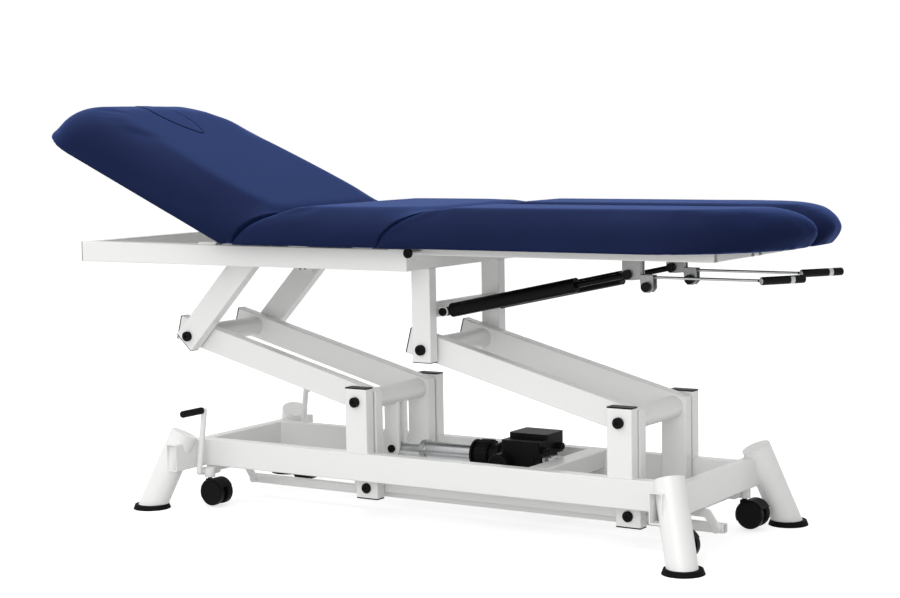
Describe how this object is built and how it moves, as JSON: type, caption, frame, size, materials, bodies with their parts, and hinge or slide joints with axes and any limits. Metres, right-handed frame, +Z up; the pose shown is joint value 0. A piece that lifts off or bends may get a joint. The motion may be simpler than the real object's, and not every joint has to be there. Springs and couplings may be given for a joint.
{
  "type": "massage table",
  "caption": "Electric treatment couch with a tilting head section, a seat and two separate leg sections on a parallel-arm lifting frame with retractable castors.",
  "frame": {"origin": "on the floor, under the middle of the couch's bounding box", "axes": "+X from the head end to the foot end, +Y across the couch, +Z up"},
  "size_m": [1.95, 0.6306, 0.9876],
  "materials": {
    "painted_steel": "off-white powder coat, satin",
    "rubber": "matt black rubber",
    "black_plastic": "moulded black nylon",
    "spring_black": "black lacquered gas spring",
    "zinc_steel": "zinc plated",
    "ribbed_aluminium": "satin anodised",
    "plywood": "dark stained plywood edge",
    "navy_leatherette": "navy coated fabric with fine grain, stretched over foam"
  },
  "bodies": {
    "base": {"base_side_rails": "painted_steel", "base_cross_rails": "painted_steel", "splayed_legs": "painted_steel", "rubber_feet": "rubber", "pivot_posts": "painted_steel", "post_caps": "black_plastic", "lower_pivot_bolts": "black_plastic", "base_brackets": "painted_steel", "actuator_tube": "ribbed_aluminium", "gear_housing": "black_plastic", "motor_barrel": "black_plastic", "control_box": "black_plastic", "actuator_eye": "zinc_steel"},
    "head_arm": {"head_arm_sides": "painted_steel", "head_arm_tubes": "painted_steel", "head_arm_caps": "black_plastic"},
    "foot_arm": {"foot_arm_sides": "painted_steel", "foot_arm_tubes": "painted_steel", "foot_arm_caps": "black_plastic"},
    "upper_frame": {"upper_side_rails": "painted_steel", "upper_cross_rails": "painted_steel", "upper_legs": "painted_steel", "upper_caps": "black_plastic", "hinge_brackets": "painted_steel", "seat_board": "plywood", "seat_cushion": "navy_leatherette"},
    "tie_bars": {"tie_bars": "painted_steel"},
    "actuator_rod": {"actuator_rod": "ribbed_aluminium"},
    "backrest": {"backrest_frame": "painted_steel", "backrest_board": "plywood", "backrest_cushion": "navy_leatherette"},
    "face_plug": {"face_plug": "navy_leatherette"},
    "backrest_spring_body": {"backrest_spring_body": "spring_black"},
    "backrest_spring_rod": {"backrest_spring_rod": "spring_black"},
    "head_shaft": {"head_shaft": "painted_steel", "pedal_grips": "black_plastic"},
    "foot_shaft": {"foot_shaft": "painted_steel"},
    "castor_link": {"castor_link": "painted_steel"},
    "leg_near": {"leg_frame_near": "painted_steel", "leg_board_near": "plywood", "leg_cushion_near": "navy_leatherette", "leg_bracket_near": "zinc_steel"},
    "leg_spring_body_near": {"leg_spring_body_near": "spring_black"},
    "leg_spring_rod_near": {"leg_spring_rod_near": "spring_black"},
    "release_handle_near": {"release_handle_near": "zinc_steel"},
    "castor_head_near": {"castor_head_near": "black_plastic"},
    "wheels_head_near": {"wheels_head_near": "black_plastic"},
    "castor_foot_near": {"castor_foot_near": "black_plastic"},
    "wheels_foot_near": {"wheels_foot_near": "black_plastic"},
    "leg_far": {"leg_frame_far": "painted_steel", "leg_board_far": "plywood", "leg_cushion_far": "navy_leatherette", "leg_bracket_far": "zinc_steel"},
    "leg_spring_body_far": {"leg_spring_body_far": "spring_black"},
    "leg_spring_rod_far": {"leg_spring_rod_far": "spring_black"},
    "release_handle_far": {"release_handle_far": "zinc_steel"},
    "castor_head_far": {"castor_head_far": "black_plastic"},
    "wheels_head_far": {"wheels_head_far": "black_plastic"},
    "castor_foot_far": {"castor_foot_far": "black_plastic"},
    "wheels_foot_far": {"wheels_foot_far": "black_plastic"}
  },
  "joints": [
    {"name": "lift", "type": "hinge", "parent": "base", "child": "head_arm", "pos_m": [-0.10951, 0, 0.278], "axis": [0, 1, 0], "range_deg": [-21, 26]},
    {"name": "foot_arm_turn", "type": "hinge", "parent": "base", "child": "foot_arm", "pos_m": [0.57249, 0, 0.278], "axis": [0, 1, 0], "range_deg": [-21, 26]},
    {"name": "frame_level", "type": "hinge", "parent": "head_arm", "child": "upper_frame", "pos_m": [-0.60651, 0, 0.408], "axis": [0, 1, 0], "range_deg": [-26, 21]},
    {"name": "tie_bar_level", "type": "hinge", "parent": "head_arm", "child": "tie_bars", "pos_m": [-0.10951, 0, 0.071], "axis": [0, 1, 0], "range_deg": [-26, 21]},
    {"name": "actuator_stroke", "type": "slide", "parent": "base", "child": "actuator_rod", "axis": [-0.9999, 0, -0.0142], "range_m": [-0.04726, 0.05839]},
    {"name": "backrest_tilt", "type": "hinge", "parent": "upper_frame", "child": "backrest", "pos_m": [-0.38201, 0, 0.635], "axis": [0, 1, 0], "range_deg": [-24.2, 45.8]},
    {"name": "face_plug_pull", "type": "slide", "parent": "backrest", "child": "face_plug", "axis": [0.4099, 0, 0.9121], "range_m": [0, 0.14]},
    {"name": "backrest_spring_turn", "type": "hinge", "parent": "upper_frame", "child": "backrest_spring_body", "pos_m": [-0.36201, 0, 0.57], "axis": [0, 1, 0], "range_deg": [-19.19, 36.13]},
    {"name": "backrest_spring_stroke", "type": "slide", "parent": "backrest_spring_body", "child": "backrest_spring_rod", "axis": [-0.9276, 0, 0.3735], "range_m": [-0.01867, 0.0349]},
    {"name": "leg_near_drop", "type": "hinge", "parent": "upper_frame", "child": "leg_near", "pos_m": [0.10699, 0, 0.632], "axis": [0, 1, 0], "range_deg": [0, 25]},
    {"name": "leg_spring_near_turn", "type": "hinge", "parent": "upper_frame", "child": "leg_spring_body_near", "pos_m": [0.10499, -0.105, 0.491], "axis": [0, 1, 0], "range_deg": [0, 24.77]},
    {"name": "leg_spring_near_stroke", "type": "slide", "parent": "leg_spring_body_near", "child": "leg_spring_rod_near", "axis": [0.979, 0, 0.2038], "range_m": [-0.06157, 0]},
    {"name": "release_near_turn", "type": "hinge", "parent": "leg_near", "child": "release_handle_near", "pos_m": [0.58599, -0.105, 0.583], "axis": [1, 0, 0], "range_deg": [0, 20]},
    {"name": "leg_far_drop", "type": "hinge", "parent": "upper_frame", "child": "leg_far", "pos_m": [0.10699, 0, 0.632], "axis": [0, 1, 0], "range_deg": [0, 25]},
    {"name": "leg_spring_far_turn", "type": "hinge", "parent": "upper_frame", "child": "leg_spring_body_far", "pos_m": [0.10499, 0.105, 0.491], "axis": [0, 1, 0], "range_deg": [0, 24.77]},
    {"name": "leg_spring_far_stroke", "type": "slide", "parent": "leg_spring_body_far", "child": "leg_spring_rod_far", "axis": [0.979, 0, 0.2038], "range_m": [-0.06157, 0]},
    {"name": "release_far_turn", "type": "hinge", "parent": "leg_far", "child": "release_handle_far", "pos_m": [0.58599, 0.105, 0.583], "axis": [1, 0, 0], "range_deg": [0, 20]},
    {"name": "pedal_press", "type": "hinge", "parent": "base", "child": "head_shaft", "pos_m": [-0.55001, 0, 0.084], "axis": [0, 1, 0], "range_deg": [0, 25]},
    {"name": "foot_shaft_turn", "type": "hinge", "parent": "base", "child": "foot_shaft", "pos_m": [0.69199, 0, 0.084], "axis": [0, 1, 0], "range_deg": [0, 25]},
    {"name": "castor_link_level", "type": "hinge", "parent": "head_shaft", "child": "castor_link", "pos_m": [-0.49001, 0, 0.051], "axis": [0, 1, 0], "range_deg": [-25, 0]},
    {"name": "castor_head_near_swivel", "type": "hinge", "parent": "head_shaft", "child": "castor_head_near", "pos_m": [-0.53601, -0.18, 0.036], "axis": [0, 0, 1], "continuous": true},
    {"name": "wheels_head_near_roll", "type": "hinge", "parent": "castor_head_near", "child": "wheels_head_near", "pos_m": [-0.51601, -0.18, 0.036], "axis": [0, 1, 0], "continuous": true},
    {"name": "castor_head_far_swivel", "type": "hinge", "parent": "head_shaft", "child": "castor_head_far", "pos_m": [-0.53601, 0.18, 0.036], "axis": [0, 0, 1], "continuous": true},
    {"name": "wheels_head_far_roll", "type": "hinge", "parent": "castor_head_far", "child": "wheels_head_far", "pos_m": [-0.51601, 0.18, 0.036], "axis": [0, 1, 0], "continuous": true},
    {"name": "castor_foot_near_swivel", "type": "hinge", "parent": "foot_shaft", "child": "castor_foot_near", "pos_m": [0.70599, -0.18, 0.036], "axis": [0, 0, 1], "continuous": true},
    {"name": "wheels_foot_near_roll", "type": "hinge", "parent": "castor_foot_near", "child": "wheels_foot_near", "pos_m": [0.72599, -0.18, 0.036], "axis": [0, 1, 0], "continuous": true},
    {"name": "castor_foot_far_swivel", "type": "hinge", "parent": "foot_shaft", "child": "castor_foot_far", "pos_m": [0.70599, 0.18, 0.036], "axis": [0, 0, 1], "continuous": true},
    {"name": "wheels_foot_far_roll", "type": "hinge", "parent": "castor_foot_far", "child": "wheels_foot_far", "pos_m": [0.72599, 0.18, 0.036], "axis": [0, 1, 0], "continuous": true}
  ],
  "couplings": [
    {"joint": "foot_arm_turn", "follows": "lift", "ratio": 1},
    {"joint": "frame_level", "follows": "lift", "ratio": -1},
    {"joint": "tie_bar_level", "follows": "lift", "ratio": -1},
    {"joint": "actuator_stroke", "follows": "lift", "m_per_rad": 0.12758},
    {"joint": "backrest_spring_turn", "follows": "backrest_tilt", "ratio": 0.7846},
    {"joint": "backrest_spring_stroke", "follows": "backrest_tilt", "m_per_rad": 0.04303},
    {"joint": "leg_spring_near_turn", "follows": "leg_near_drop", "ratio": 0.9826},
    {"joint": "leg_spring_near_stroke", "follows": "leg_near_drop", "m_per_rad": -0.13997},
    {"joint": "leg_spring_far_turn", "follows": "leg_far_drop", "ratio": 0.9826},
    {"joint": "leg_spring_far_stroke", "follows": "leg_far_drop", "m_per_rad": -0.13997},
    {"joint": "foot_shaft_turn", "follows": "pedal_press", "ratio": 1},
    {"joint": "castor_link_level", "follows": "pedal_press", "ratio": -1}
  ]
}
